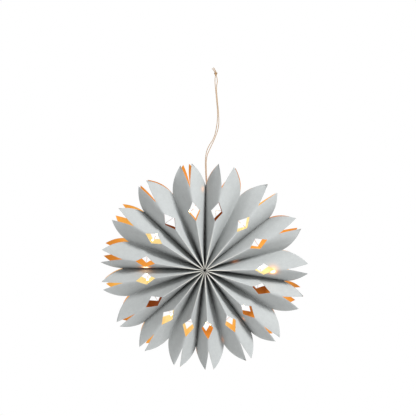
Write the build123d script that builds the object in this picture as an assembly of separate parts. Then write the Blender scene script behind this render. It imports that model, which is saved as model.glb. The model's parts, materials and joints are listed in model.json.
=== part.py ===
"""A hanging star of eight side-gusseted paper bags, opened like a fan and lit from inside.

The star is laid out about its hub: X right, Z up, and its front faces -Y. Headings are degrees
clockwise from straight up, seen from the front. The finished parts are then moved so that the
origin is the top of the eye in the twine that goes over a nail.
"""

from build123d import *
import math
import os

os.makedirs("parts", exist_ok=True)

# ---- Star ----
TIP_RADIUS = 208.0  # hub to the petal tips
SEAM_RADIUS = 163.0  # hub to the outer end of a glued seam
GUSSET_RADIUS = 159.0  # hub to the outer end of a gusset fold
NOTCH_RADIUS = 162.0  # hub to the bottom of the notch between two petals
HUB_RADIUS = 5.0  # small hole left where the bag bottoms meet
BOTTOM_RADIUS = 14.0  # bag bottoms are folded solid out to here
BAG_WIDTH = 110.0  # flat width of a bag, which is the star's depth
GUSSET_DEPTH = 45.0  # how far a gusset tucks in
PAPER = 0.3
ADHESIVE = 0.3  # thickness of an adhesive strip
ADHESIVE_HALF_WIDTH = 6.0
ADHESIVE_INNER_RADIUS = 9.0
ADHESIVE_END_GAP = 3.0  # the strip stops this far short of the seam's end

# ---- Cut-outs ----
WINDOW_INNER = 97.0
WINDOW_OUTER = 135.0
WINDOW_HALF_WIDTH = 11.6
TIP_SHARE = 0.24  # how far from ridge to valley a petal tip stands
ARC_RISE = 0.575  # the petal's curved side passes through this share of its rise ...
ARC_TURN = 0.46  # ... at this share of its turn

# Headings of each bag's folds: seam, ridge, gusset fold, ridge, seam
BAG_HEADINGS = [
    (1.0, 11.8, 25.9, 40.0, 52.4),
    (52.4, 64.0, 76.8, 89.6, 99.3),
    (99.3, 109.0, 121.0, 133.8, 144.0),
    (144.0, 154.0, 165.6, 177.3, 186.0),
    (186.0, 196.0, 207.0, 218.3, 228.0),
    (228.0, 237.9, 250.0, 261.3, 270.0),
    (270.0, 277.8, 289.8, 302.0, 313.2),
    (313.2, 324.4, 337.2, 350.0, 361.0),
]
STATIONS = [60.0, 105.0, 150.0]  # where a bag's cross-section is worked out, past its bottom
LAST_STATION = TIP_RADIUS + 8.0

# ---- Light string ----
WIRE_DIAMETER = 0.9
BEAD_DIAMETER = 3.4
WINDOW_MIDDLE = (WINDOW_INNER + WINDOW_OUTER) / 2
CROSSING_Y = BAG_WIDTH / 2 - 18.0  # how far back the wire crosses a seam
CROSSING_SETBACK = 0.12  # each bag's stretch of wire stops this far from the seam
AT_RIDGE_Y = BAG_WIDTH / 2 - 27.0  # and how far back it runs inside a ridge

# ---- Twine ----
STRAND_DIAMETER = 1.5
STRAND_GAP = 0.2  # between the two strands where they lie together
STRAND_OFFSET = (STRAND_DIAMETER + STRAND_GAP) / 2  # from the middle of the pair to a strand
# Middle of the pair (x, y, z) and how far the strands open there, from the glue up to the knot
TWINE_ROUTE = [
    ((4.9, 0.0, 136.0), 0.0),
    ((5.3, 0.2, 160.0), 0.0),
    ((3.6, 0.0, 188.0), 0.0),
    ((2.9, -0.4, 219.0), 0.0),
    ((9.9, 0.3, 239.0), 2.0),
    ((20.3, 0.6, 256.0), 0.0),
    ((27.1, 0.2, 279.0), 1.3),
    ((27.9, -0.4, 304.0), 0.0),
    ((25.2, 0.2, 332.0), 0.0),
    ((23.0, 0.5, 357.0), 0.0),
    ((23.9, 0.0, 370.5), 2.1),
    ((23.1, 0.0, 379.5), 0.0),
]
KNOT_CENTRE = (22.9, 0.0, 383.0)
KNOT_SIZE = (7.4, 6.6, 8.6)
TAIL_ENDS = [(15.3, -1.0, 393.6), (17.9, 1.2, 395.4)]
TAIL_MIDDLES = [(20.3, -1.0, 388.4), (22.5, 1.2, 390.0)]
TAIL_STARTS = [(22.1, -1.0, 385.4), (23.5, 1.2, 386.0)]
GLUE_SIZE = (4.4, 8.0, 14.0)  # across the wall, front to back, along the twine
GLUE_RADIUS = 146.0
HANG_POINT = (23.5, 0.0, 377.0)  # top of the eye under the knot

# ---- Battery pack ----
CASE_LENGTH = 46.0
CASE_WIDTH = 32.0
CASE_WALL = 1.6
CASE_CORNER = 4.0
CASE_RADIUS = 47.0  # hub to the middle of the case
PAD_THICKNESS = 1.6
PAD_LENGTH = 30.0
PAD_WIDTH = 24.0
PAD_GAP = 0.2  # between the ridges' highest point and the pad
COVER_THICKNESS = 1.5
COVER_FIT = 0.15
COVER_GROOVE = 0.8
CASE_LIP = 1.0  # roof left over the cover's grooves
CLIP_GAP = 0.3  # between the cells' upper contact and the cover
RIB_COUNT = 4
RIB_PITCH = 2.0
RIB_DEPTH = 0.4
CELL_DIAMETER = 20.0
CELL_THICKNESS = 3.2
CELL_GAP = 0.05
CELL_OFFSET = 9.0  # from the middle of the case towards its outer end
CONTACT_THICKNESS = 0.3
CONTACT_WIDTH = 8.0
BOARD_LENGTH = 11.0
BOARD_WIDTH = 26.0
BOARD_THICKNESS = 1.0
BOARD_OFFSET = -14.5
BOSS_HEIGHT = 1.2
BOSS_RADIUS = 1.6
SWITCH_LENGTH = 8.0
SWITCH_WIDTH = 4.0
SWITCH_HEIGHT = 3.6
KNOB_LENGTH = 3.0
KNOB_HEIGHT = 2.0
KNOB_REACH = 1.4  # how far the knob stands out of the case
KNOB_FIT = 0.2
SWITCH_TRAVEL = 2.4
LEAD_HOLE_DIAMETER = 1.6
LEAD_GAP = 1.5  # between the cells' edge and the middle of the lead
LEAD_ACROSS = -(CELL_DIAMETER / 2 + LEAD_GAP)  # where the lead lies across the case


def polar(heading, radius, y=0.0):
    """A point at a heading and a distance from the hub."""
    angle = math.radians(heading)
    return Vector(radius * math.sin(angle), y, radius * math.cos(angle))


def tangent(heading):
    """The direction in which the heading grows."""
    angle = math.radians(heading)
    return Vector(math.cos(angle), 0, -math.sin(angle))


def inset(points, distance):
    """A closed outline moved inwards by a distance. Its points run anticlockwise, as (across, y)."""
    moved = []
    for before, point, after in zip(points[-1:] + points[:-1], points, points[1:] + points[:1]):
        ax, ay = point[0] - before[0], point[1] - before[1]
        bx, by = after[0] - point[0], after[1] - point[1]
        a, b = math.hypot(ax, ay), math.hypot(bx, by)
        normal_a = (-ay / a, ax / a)
        normal_b = (-by / b, bx / b)
        scale = distance / (1 + normal_a[0] * normal_b[0] + normal_a[1] * normal_b[1])
        across = point[0] + scale * (normal_a[0] + normal_b[0])
        moved.append((across, point[1] + scale * (normal_a[1] + normal_b[1])))
    return moved


def section(headings, station):
    """The outline of a bag's cross-section at a distance along its gusset fold, as (across, y)."""
    seam_a, ridge_a, fold, ridge_b, seam_b = headings

    def across(heading):
        return station * math.tan(math.radians(heading - fold))

    def depths(at):
        """How far the two ridges and the gusset fold stand from the middle plane."""
        ridges, folds = [], []
        for seam, ridge in ((seam_a, ridge_a), (seam_b, ridge_b)):
            seam_at = at * math.tan(math.radians(seam - fold))
            ridge_at = at * math.tan(math.radians(ridge - fold))
            panel = BAG_WIDTH / 2 - ADHESIVE_HALF_WIDTH
            ridges.append(ADHESIVE_HALF_WIDTH + math.sqrt(panel**2 - (seam_at - ridge_at) ** 2))
            folds.append(ridges[-1] - math.sqrt(GUSSET_DEPTH**2 - ridge_at**2))
        return ridges[0], ridges[1], sum(folds) / 2

    if station <= STATIONS[-1]:
        ridge_a_y, ridge_b_y, fold_y = depths(station)
    else:
        inner, outer = depths(STATIONS[-2]), depths(STATIONS[-1])
        run = (station - STATIONS[-1]) / (STATIONS[-1] - STATIONS[-2])
        ridge_a_y, ridge_b_y, fold_y = (o + (o - i) * run for i, o in zip(inner, outer))
    wall_a = across(seam_a) + ADHESIVE / 2 / math.cos(math.radians(seam_a - fold))
    wall_b = across(seam_b) - ADHESIVE / 2 / math.cos(math.radians(seam_b - fold))
    front = [
        (wall_a, -ADHESIVE_HALF_WIDTH),
        (across(ridge_a), -ridge_a_y),
        (0.0, -fold_y),
        (across(ridge_b), -ridge_b_y),
        (wall_b, -ADHESIVE_HALF_WIDTH),
    ]
    back = [(x, -y) for x, y in reversed(front)]
    return front + back


def bag_loft(headings, stations, wall):
    """A closed solid through a bag's cross-sections, each moved inwards by a wall."""
    along = polar(headings[2], 1)
    aside = tangent(headings[2])
    faces = []
    for station in stations:
        outline = section(headings, station)
        if wall:
            outline = inset(outline, wall)
        points = [along * station + aside * x + Vector(0, y, 0) for x, y in outline]
        faces.append(Face(Wire.make_polygon(points, close=True)))
    return Solid.make_loft([face.outer_wire() for face in faces], ruled=True)


def prism(edges):
    """A flat outline in the XZ plane, carried through the whole depth of the star."""
    face = Face(Wire(edges))
    return extrude(face, amount=BAG_WIDTH, dir=(0, 1, 0), both=True)


def petal_side(valley, ridge, valley_radius):
    """The curved side of a petal, from the valley's end to its tip."""
    tip_heading = ridge + (valley - ridge) * TIP_SHARE
    middle_heading = valley + (tip_heading - valley) * ARC_TURN
    middle_radius = valley_radius + (TIP_RADIUS - valley_radius) * ARC_RISE
    tip = polar(tip_heading, TIP_RADIUS)
    arc = ThreePointArc(polar(valley, valley_radius), polar(middle_heading, middle_radius), tip)
    return arc, tip


def bag_outline(headings):
    """The cut outline of a bag: four petals, two notches, and a margin past each seam."""
    seam_a, ridge_a, fold, ridge_b, seam_b = headings
    margin = 2.0
    behind = polar(fold + 180, HUB_RADIUS * 6)
    start, end = polar(seam_a - margin, SEAM_RADIUS), polar(seam_b + margin, SEAM_RADIUS)
    edges = [Line(behind, start), Line(start, polar(seam_a, SEAM_RADIUS))]
    for seam, ridge in ((seam_a, ridge_a), (seam_b, ridge_b)):
        notch = polar(ridge, NOTCH_RADIUS)
        seam_arc, seam_tip = petal_side(seam, ridge, SEAM_RADIUS)
        fold_arc, fold_tip = petal_side(fold, ridge, GUSSET_RADIUS)
        edges += [seam_arc, Line(seam_tip, notch), Line(notch, fold_tip), fold_arc]
    edges += [Line(polar(seam_b, SEAM_RADIUS), end), Line(end, behind)]
    return prism(edges)


def window(ridge):
    """The diamond cut through a ridge."""
    middle = polar(ridge, WINDOW_MIDDLE)
    side = tangent(ridge) * WINDOW_HALF_WIDTH
    corners = [polar(ridge, WINDOW_INNER), middle + side, polar(ridge, WINDOW_OUTER), middle - side]
    return prism(Wire.make_polygon(corners, close=True).edges())


def paper_bag(headings):
    """One bag, solid at its folded bottom and open at its mouth."""
    outside = bag_loft(headings, [HUB_RADIUS, BOTTOM_RADIUS, *STATIONS, LAST_STATION], 0)
    inside = bag_loft(headings, [BOTTOM_RADIUS, *STATIONS, LAST_STATION + 1], PAPER)
    bag = (outside - inside) & bag_outline(headings)
    for ridge in (headings[1], headings[3]):
        bag -= window(ridge)
    return bag


def adhesive_strip(heading):
    """The strip that joins two bags along a seam."""
    inner, outer = ADHESIVE_INNER_RADIUS, SEAM_RADIUS - ADHESIVE_END_GAP
    strip = Box(ADHESIVE, 2 * ADHESIVE_HALF_WIDTH, outer - inner)
    return Pos(polar(heading, (inner + outer) / 2)) * Rot(0, heading, 0) * strip


def tube(name, points, diameter):
    """A round tube along straight runs that are joined by arcs as large as the runs allow."""
    points = [Vector(*point) for point in points]
    radii = []
    for before, point, after in zip(points, points[1:], points[2:]):
        run_in, run_out = point - before, after - point
        half_turn = math.radians(run_in.get_angle(run_out)) / 2
        radii.append(0.45 * min(run_in.length, run_out.length) / math.tan(half_turn))
    path = FilletPolyline(*points, radius=radii) if radii else Line(*points)
    solid = sweep(Plane(path @ 0, z_dir=path % 0) * Circle(diameter / 2), path=path)
    expected = math.pi * diameter**2 / 4 * path.length
    shown = ", ".join(f"{radius:.0f}" for radius in radii)
    print(f"{name}: length {path.length:.1f}, volume / expected {solid.volume / expected:.4f}, radii {shown}")
    return solid


def string_route(headings, first, last):
    """The wire's way through a bag: in at one window, under the gusset fold, out at the other."""
    seam_a, ridge_a, fold, ridge_b, seam_b = headings
    middle = WINDOW_MIDDLE
    if first:
        way_in = [
            case_point(BOARD_OFFSET, LEAD_ACROSS + 0.6, LEAD_HEIGHT),
            case_point(CELL_OFFSET, LEAD_ACROSS - 0.2, LEAD_HEIGHT),
            case_point(CASE_LENGTH / 2 + 9, LEAD_ACROSS + 0.4, LEAD_HEIGHT + 0.2),
            polar(ridge_a + 4, 97, 62),
            polar(ridge_a + 0.5, 112, 54),
            polar(ridge_a + 1.5, middle + 1, 38),
        ]
    else:
        crossing = polar(seam_a, middle, CROSSING_Y) + tangent(seam_a) * CROSSING_SETBACK
        way_in = [crossing, polar((seam_a + ridge_a) / 2, middle + 1, CROSSING_Y - 1)]
    inside = [
        polar(ridge_a + 2, middle - 1, AT_RIDGE_Y - 3),
        polar((ridge_a + fold) / 2 + 1, middle + 5, 8),
        polar(fold, middle - 3, -1),
        polar((fold + ridge_b) / 2, middle + 2, 7),
        polar(ridge_b - 2, middle - 2, AT_RIDGE_Y - 4),
    ]
    if last:
        way_out = [polar(ridge_b + 4, middle + 12, 14), polar(ridge_b + 2, middle + 26, 4)]
    else:
        crossing = polar(seam_b, middle, CROSSING_Y) - tangent(seam_b) * CROSSING_SETBACK
        way_out = [polar((ridge_b + seam_b) / 2, middle - 1, CROSSING_Y - 1), crossing]
    return way_in + inside + way_out


def bead(point):
    """A drop of clear resin round one lamp."""
    return Pos(point) * Sphere(BEAD_DIAMETER / 2)


def light_string(number, headings):
    """The wire in one bag, and its beads as separate solids."""
    route = string_route(headings, number == 1, number == len(BAG_HEADINGS))
    route = [tuple(point) for point in route]
    wire = tube(f"light_string_{number}", route, WIRE_DIAMETER)
    lamps = []
    for index in (-6, -4, -3):
        before, after = Vector(*route[index]), Vector(*route[index + 1])
        lamps.append(bead((before + after) / 2) - wire)
    return Compound(children=[*wire.solids(), *(lamp for group in lamps for lamp in group.solids())])


# The battery pack is laid out on the back of the first bag: length along the bag, width across
# it, and height backwards from the ridges.
PACK_HEADING = BAG_HEADINGS[0][2]
PACK_FRAME = Plane(
    origin=polar(PACK_HEADING, CASE_RADIUS, BAG_WIDTH / 2 + PAD_GAP),
    x_dir=polar(PACK_HEADING, 1),
    z_dir=(0, 1, 0),
).location
ROOM_LENGTH = CASE_LENGTH - 2 * CASE_WALL
ROOM_WIDTH = CASE_WIDTH - 2 * CASE_WALL
FLOOR = PAD_THICKNESS + CASE_WALL
CELL_FLOOR = FLOOR + CONTACT_THICKNESS
CELL_TOP = CELL_FLOOR + 2 * CELL_THICKNESS + CELL_GAP
BOARD_FLOOR = FLOOR + BOSS_HEIGHT
BOARD_TOP = BOARD_FLOOR + BOARD_THICKNESS
LEAD_HEIGHT = BOARD_TOP + WIRE_DIAMETER / 2 + COVER_FIT
COVER_FLOOR = CELL_TOP + CONTACT_THICKNESS + CLIP_GAP
CASE_HEIGHT = COVER_FLOOR + COVER_THICKNESS + COVER_FIT + CASE_LIP - PAD_THICKNESS
COVER_WIDTH = ROOM_WIDTH + 2 * COVER_GROOVE
SWITCH_ACROSS = CASE_WIDTH / 2 - CASE_WALL - KNOB_FIT - SWITCH_WIDTH / 2
KNOB_MIDDLE = BOARD_TOP + SWITCH_HEIGHT / 2
UP = (Align.CENTER, Align.CENTER, Align.MIN)
AHEAD = (Align.MIN, Align.CENTER, Align.MIN)


def case_point(length, width, height):
    """A point given in the battery pack's own directions."""
    return (PACK_FRAME * Pos(length, width, height)).position


def case_block(height):
    """The case's rounded outline, carried up by a height."""
    return extrude(RectangleRounded(CASE_LENGTH, CASE_WIDTH, CASE_CORNER), height)


def battery_case():
    """The tray: open on its outer side, with grooves that the cover slides in."""
    case = Pos(0, 0, PAD_THICKNESS) * case_block(CASE_HEIGHT)
    case -= Pos(0, 0, FLOOR) * Box(ROOM_LENGTH, ROOM_WIDTH, CASE_HEIGHT, align=UP)
    groove_width, groove_height = COVER_WIDTH + 2 * COVER_FIT, COVER_THICKNESS + 2 * COVER_FIT
    groove = Box(CASE_LENGTH, groove_width, groove_height, align=AHEAD)
    case -= Pos(-ROOM_LENGTH / 2, 0, COVER_FLOOR - COVER_FIT) * groove
    doorway = Box(CASE_LENGTH, ROOM_WIDTH, CASE_HEIGHT, align=AHEAD)
    case -= Pos(0, 0, COVER_FLOOR - COVER_FIT) * doorway
    slot_length = KNOB_LENGTH + SWITCH_TRAVEL + 2 * KNOB_FIT
    slot = Box(slot_length, 2 * CASE_WALL, KNOB_HEIGHT + 2 * KNOB_FIT)
    case -= Pos(BOARD_OFFSET, CASE_WIDTH / 2, KNOB_MIDDLE) * slot
    hole = Rot(0, 90, 0) * Cylinder(LEAD_HOLE_DIAMETER / 2, 4 * CASE_WALL)
    case -= Pos(CASE_LENGTH / 2, LEAD_ACROSS, LEAD_HEIGHT) * hole
    boss = Cylinder(BOSS_RADIUS, BOSS_HEIGHT, align=UP)
    for side in (-1, 1):
        case += Pos(BOARD_OFFSET, side * (BOARD_WIDTH / 2 - 2 * BOSS_RADIUS), FLOOR) * boss
    return case


def battery_cover():
    """The plate that slides off along the case, with finger ribs at its outer end."""
    length = CASE_LENGTH - CASE_WALL - COVER_FIT
    cover = Pos(COVER_FIT - ROOM_LENGTH / 2, 0, 0) * Box(
        length, COVER_WIDTH, COVER_THICKNESS, align=AHEAD
    )
    cover &= case_block(COVER_THICKNESS)
    groove = Box(RIB_PITCH / 2, ROOM_WIDTH / 2, COVER_THICKNESS, align=UP)
    for rib in range(RIB_COUNT):
        along = CASE_LENGTH / 2 - CASE_CORNER - RIB_PITCH * rib
        cover -= Pos(along, 0, COVER_THICKNESS - RIB_DEPTH) * groove
    return Pos(0, 0, COVER_FLOOR) * cover


def coin_cell(place):
    """One of the two stacked cells, counted from the case's floor."""
    cell = Cylinder(CELL_DIAMETER / 2, CELL_THICKNESS, align=UP)
    return Pos(CELL_OFFSET, 0, CELL_FLOOR + place * (CELL_THICKNESS + CELL_GAP)) * cell


def contact_plate():
    """The strip under the cells, which runs on below the board."""
    length = CELL_OFFSET - BOARD_OFFSET
    return Pos(BOARD_OFFSET, 0, FLOOR) * Box(length, CONTACT_WIDTH, CONTACT_THICKNESS, align=AHEAD)


def contact_clip():
    """The bent strip from the board, up beside the cells and over them."""
    leg_x = CELL_OFFSET - CELL_DIAMETER / 2 - 2 * CONTACT_THICKNESS
    foot_x = BOARD_OFFSET + BOARD_LENGTH / 4
    foot = Box(leg_x - foot_x, CONTACT_WIDTH, CONTACT_THICKNESS, align=AHEAD)
    leg_height = CELL_TOP + CONTACT_THICKNESS - BOARD_TOP
    leg = Box(CONTACT_THICKNESS, CONTACT_WIDTH, leg_height, align=AHEAD)
    arm = Box(CELL_DIAMETER / 3, CONTACT_WIDTH, CONTACT_THICKNESS, align=AHEAD)
    clip = Pos(foot_x, 0, BOARD_TOP) * foot + Pos(leg_x, 0, BOARD_TOP) * leg
    return clip + Pos(leg_x, 0, CELL_TOP) * arm


def circuit_board():
    board = Box(BOARD_LENGTH, BOARD_WIDTH, BOARD_THICKNESS, align=UP)
    return Pos(BOARD_OFFSET, 0, BOARD_FLOOR) * board


def switch_body():
    body = Box(SWITCH_LENGTH, SWITCH_WIDTH, SWITCH_HEIGHT, align=UP)
    return Pos(BOARD_OFFSET, SWITCH_ACROSS, BOARD_TOP) * body


def switch_knob():
    """The knob at the off end of its slot."""
    reach = KNOB_FIT + CASE_WALL + KNOB_REACH - COVER_FIT
    knob = Box(KNOB_LENGTH, reach, KNOB_HEIGHT)
    across = CASE_WIDTH / 2 + KNOB_REACH - reach / 2
    return Pos(BOARD_OFFSET - SWITCH_TRAVEL / 2, across, KNOB_MIDDLE) * knob


def battery_pack():
    """Every piece of the pack, by name."""
    return {
        "foam_pad": Box(PAD_LENGTH, PAD_WIDTH, PAD_THICKNESS, align=UP),
        "battery_case": battery_case(),
        "battery_cover": battery_cover(),
        "contact_plate": contact_plate(),
        "coin_cell_lower": coin_cell(0),
        "coin_cell_upper": coin_cell(1),
        "circuit_board": circuit_board(),
        "contact_clip": contact_clip(),
        "switch_body": switch_body(),
        "switch_knob": switch_knob(),
    }


def strand(name, side):
    """One strand of the twine, from inside the first bag's mouth up into the knot."""
    points = []
    for (x, y, z), opening in TWINE_ROUTE:
        points.append((x + side * (STRAND_OFFSET + opening), y, z))
    return tube(name, points, STRAND_DIAMETER)


def twine_knot():
    """The knot's overall shape: a rounded lump."""
    ball = Sphere(0.5)
    width, depth, height = KNOT_SIZE
    return Pos(KNOT_CENTRE) * scale(ball, by=(width, depth, height))


def glue_dab(strands):
    """The glue that holds the strands against the first bag's seam wall."""
    seam = BAG_HEADINGS[0][0]
    width, depth, length = GLUE_SIZE
    wall = ADHESIVE / 2 + PAPER
    dab = Pos(wall + width / 2, 0, 0) * Box(width, depth, length)
    dab = Pos(polar(seam, GLUE_RADIUS)) * Rot(0, seam, 0) * dab
    for piece in strands:
        dab -= piece
    return dab


def write(name, shape):
    """Moves a part from the hub's frame to the hanging point's, and writes it."""
    solids = shape.solids()
    placed = [Pos(-Vector(*HANG_POINT)) * solid for solid in solids]
    export_step(placed[0] if len(placed) == 1 else Compound(children=placed), f"parts/{name}.step")


def main():
    for number, headings in enumerate(BAG_HEADINGS, 1):
        write(f"paper_bag_{number}", paper_bag(headings))
        write(f"seam_adhesive_{number}", adhesive_strip(headings[0]))
        write(f"light_string_{number}", light_string(number, headings))
    strands = {"twine_left": strand("twine_left", -1), "twine_right": strand("twine_right", 1)}
    tails = [
        tube(f"twine_tail_{n}", points, STRAND_DIAMETER)
        for n, points in enumerate(zip(TAIL_STARTS, TAIL_MIDDLES, TAIL_ENDS), 1)
    ]
    for name, shape in strands.items():
        write(name, shape)
    write("twine_tails", Compound(children=[solid for tail in tails for solid in tail.solids()]))
    write("twine_knot", twine_knot())
    write("twine_glue", glue_dab(strands.values()))
    for name, shape in battery_pack().items():
        write(name, PACK_FRAME * shape)


main()
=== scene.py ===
"""A hanging paper star: eight gusseted bags opened like a fan, lit from inside by a light string.

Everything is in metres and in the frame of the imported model: the front faces -Y, +Z is up, and the
origin is the top of the eye in the twine. Headings are degrees clockwise from straight up, seen
from the front.
"""

import json
import math
import random

import bmesh
import bpy
import numpy as np
from bpy.props import FloatProperty, FloatVectorProperty, IntProperty
from mathutils import Matrix, Vector


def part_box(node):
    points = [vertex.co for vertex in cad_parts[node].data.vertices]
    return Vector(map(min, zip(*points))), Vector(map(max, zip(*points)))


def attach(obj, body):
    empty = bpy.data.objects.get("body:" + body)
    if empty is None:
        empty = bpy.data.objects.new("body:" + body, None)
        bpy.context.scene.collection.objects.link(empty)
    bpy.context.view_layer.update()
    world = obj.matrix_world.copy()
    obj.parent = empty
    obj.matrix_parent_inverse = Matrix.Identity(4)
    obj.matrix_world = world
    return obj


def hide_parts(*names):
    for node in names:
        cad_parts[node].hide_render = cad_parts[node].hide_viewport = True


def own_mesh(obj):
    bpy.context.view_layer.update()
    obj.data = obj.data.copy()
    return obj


bl_info = {
    "name": "Paper Star",
    "version": (1, 0, 0),
    "blender": (4, 5, 0),
    "location": "View3D > Sidebar > Paper Star",
    "description": "Builds a hanging star of gusseted paper bags with its light string and twine",
    "category": "Add Mesh",
}

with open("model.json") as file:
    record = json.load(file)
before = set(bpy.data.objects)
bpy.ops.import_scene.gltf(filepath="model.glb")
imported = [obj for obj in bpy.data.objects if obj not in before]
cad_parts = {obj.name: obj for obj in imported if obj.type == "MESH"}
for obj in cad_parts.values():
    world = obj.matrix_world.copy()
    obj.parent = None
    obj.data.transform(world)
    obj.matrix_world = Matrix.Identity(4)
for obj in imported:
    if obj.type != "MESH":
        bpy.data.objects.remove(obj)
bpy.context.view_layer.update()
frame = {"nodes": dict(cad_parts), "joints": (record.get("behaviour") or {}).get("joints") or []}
JOINTS = {joint["name"]: joint for joint in frame["joints"]}
HUB = Vector(JOINTS["fan_fold"]["pos_m"])
MM = 0.001

# Headings of each bag's folds: seam, ridge, gusset fold, ridge, seam
BAG_HEADINGS = [
    (1.0, 11.8, 25.9, 40.0, 52.4),
    (52.4, 64.0, 76.8, 89.6, 99.3),
    (99.3, 109.0, 121.0, 133.8, 144.0),
    (144.0, 154.0, 165.6, 177.3, 186.0),
    (186.0, 196.0, 207.0, 218.3, 228.0),
    (228.0, 237.9, 250.0, 261.3, 270.0),
    (270.0, 277.8, 289.8, 302.0, 313.2),
    (313.2, 324.4, 337.2, 350.0, 361.0),
]
# For each ridge of each bag: how far its two petal tips stand from the fold, in degrees
TIP_SPREADS = [
    (4.2, 3.45), (3.2, 2.75), (3.65, 1.6), (1.6, 2.4),
    (1.75, 1.85), (1.5, 2.2), (3.55, 3.65), (2.65, 3.1),
]
# How far each ridge's back fold is turned from its front fold, in degrees
BACK_TURNS = [
    (0.6, 1.2), (0.6, 0.8), (-1.2, 0.9), (0.3, 0.5),
    (-1.2, 0.3), (0.4, 0.5), (1.4, 1.6), (-0.8, 0.4),
]
# How far the back petals beside each ridge lean, in degrees at their tips
BACK_LEANS = [
    ((0.0, 1.3), (0.0, 0.0)), ((0.0, 0.0), (0.0, 3.0)),
    ((-1.6, -0.7), (-1.3, -1.6)), ((0.0, 0.0), (0.0, 0.9)),
    ((-2.2, 0.0), (0.0, 0.0)), ((0.0, -0.9), (0.0, -1.1)),
    ((0.3, 0.5), (0.0, 0.3)), ((1.1, 0.9), (1.3, -1.6)),
]
# How brightly the lamps light each ridge's hollow
LOBE_GLOW = [
    (0.22, 0.95), (0.62, 0.9), (0.3, 0.34), (0.85, 0.42),
    (1.0, 0.9), (0.22, 1.0), (0.65, 0.9), (0.26, 0.65),
]


# ---- Sizes and colours that a user may change ----


class PaperStarBag(bpy.types.PropertyGroup):
    """The paper bags' sizes and colours."""

    tip_radius: FloatProperty(name="Tip radius", description="Hub to the petal tips",
                              default=0.208, unit="LENGTH")
    seam_radius: FloatProperty(name="Seam radius", description="Hub to the outer end of a seam",
                               default=0.163, unit="LENGTH")
    gusset_radius: FloatProperty(name="Gusset radius", description="Hub to the end of a gusset fold",
                                 default=0.159, unit="LENGTH")
    notch_radius: FloatProperty(name="Notch radius", description="Hub to the bottom of a notch",
                                default=0.162, unit="LENGTH")
    inner_radius: FloatProperty(name="Inner radius", description="Hub to the bags' folded ends",
                                default=0.0030, unit="LENGTH")
    width: FloatProperty(name="Bag width", description="Flat width of a bag, the star's depth",
                         default=0.110, unit="LENGTH")
    gusset_depth: FloatProperty(name="Gusset depth", description="How far a gusset tucks in",
                                default=0.045, unit="LENGTH")
    glued_half: FloatProperty(name="Glued half width", description="Half the glued strip's width",
                              default=0.006, unit="LENGTH")
    glue: FloatProperty(name="Glue", description="Thickness of the glued strip",
                        default=0.0003, unit="LENGTH")
    paper: FloatProperty(name="Paper", description="Thickness of the paper",
                         default=0.0003, unit="LENGTH")
    window_inner: FloatProperty(name="Window inner end", description="Hub to the window",
                                default=0.097, unit="LENGTH")
    window_outer: FloatProperty(name="Window outer end", description="Hub to the window's far end",
                                default=0.135, unit="LENGTH")
    window_half: FloatProperty(name="Window half width", description="Fold to the window's corner",
                               default=0.0116, unit="LENGTH")
    bulge: FloatProperty(name="Bulge", description="How far the panels belly out, as a share",
                         default=0.72, min=0.05, max=0.9)
    low_reach: FloatProperty(name="Low reach", description="Reach of the lowest petals, as a share",
                             default=0.942, min=0.8, max=1.0)
    columns: IntProperty(name="Columns", description="Faces across a panel", default=18, min=12)
    outside: FloatVectorProperty(name="Outside", description="Colour of the paper's outer side",
                                 subtype="COLOR", default=(0.54, 0.553, 0.545))


class PaperStarTwine(bpy.types.PropertyGroup):
    """The twine's sizes and colour."""

    diameter: FloatProperty(name="Strand diameter", description="Thickness of one strand",
                            default=0.0015, unit="LENGTH")
    offset: FloatProperty(name="Strand offset", description="Middle of the pair to a strand",
                          default=0.00085, unit="LENGTH")
    lay: FloatProperty(name="Lay", description="Length of one turn of the plies",
                       default=0.0055, unit="LENGTH")
    colour: FloatVectorProperty(name="Jute", description="Colour of the twine",
                                subtype="COLOR", default=(0.46, 0.29, 0.14))


class PaperStarLights(bpy.types.PropertyGroup):
    """The light string's colours."""

    glow: FloatVectorProperty(name="Lamp light", description="Colour of a lamp's light",
                              subtype="COLOR", default=(1.0, 0.62, 0.22))
    strength: FloatProperty(name="Lamp strength", description="How brightly a lamp shines",
                            default=14.0, min=0.0)
    reach: FloatProperty(name="Reach", description="How far from a lamp its light halves",
                         default=0.045, unit="LENGTH")


class PaperStarStage(bpy.types.PropertyGroup):
    """The camera's place, the floor and the backdrop."""

    distance: FloatProperty(name="Camera distance", description="Camera to the star's middle",
                            default=2.0, unit="LENGTH")
    azimuth: FloatProperty(name="Camera azimuth", description="Turn about the star",
                           default=math.radians(-1.6), subtype="ANGLE")
    pitch: FloatProperty(name="Camera pitch", description="How far the camera looks down",
                         default=math.radians(3.0), subtype="ANGLE")
    frame_width: FloatProperty(name="Frame width", description="What the picture spans at the star",
                               default=0.823, unit="LENGTH")
    floor_drop: FloatProperty(name="Floor drop", description="Origin to the floor",
                              default=1.7, unit="LENGTH")
    white: FloatVectorProperty(name="Backdrop", description="Colour of floor and backdrop",
                               subtype="COLOR", default=(0.9, 0.9, 0.9))


# ---- Shader maths ----


class Sock:
    """A shader socket that adds Math nodes when it is used in an expression."""

    def __init__(self, shader, socket):
        self.shader = shader
        self.socket = socket

    def _with(self, operation, *values):
        return self.shader.node("ShaderNodeMath", {"operation": operation}, list(values))[0]

    def __add__(self, other):
        return self._with("ADD", self, other)

    def __sub__(self, other):
        return self._with("SUBTRACT", self, other)

    def __mul__(self, other):
        return self._with("MULTIPLY", self, other)

    def __radd__(self, other):
        return self._with("ADD", other, self)

    def __rsub__(self, other):
        return self._with("SUBTRACT", other, self)

    def __rmul__(self, other):
        return self._with("MULTIPLY", other, self)

    def clamp(self):
        return self.shader.node("ShaderNodeClamp", {}, [self, 0.0, 1.0])[0]


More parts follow.
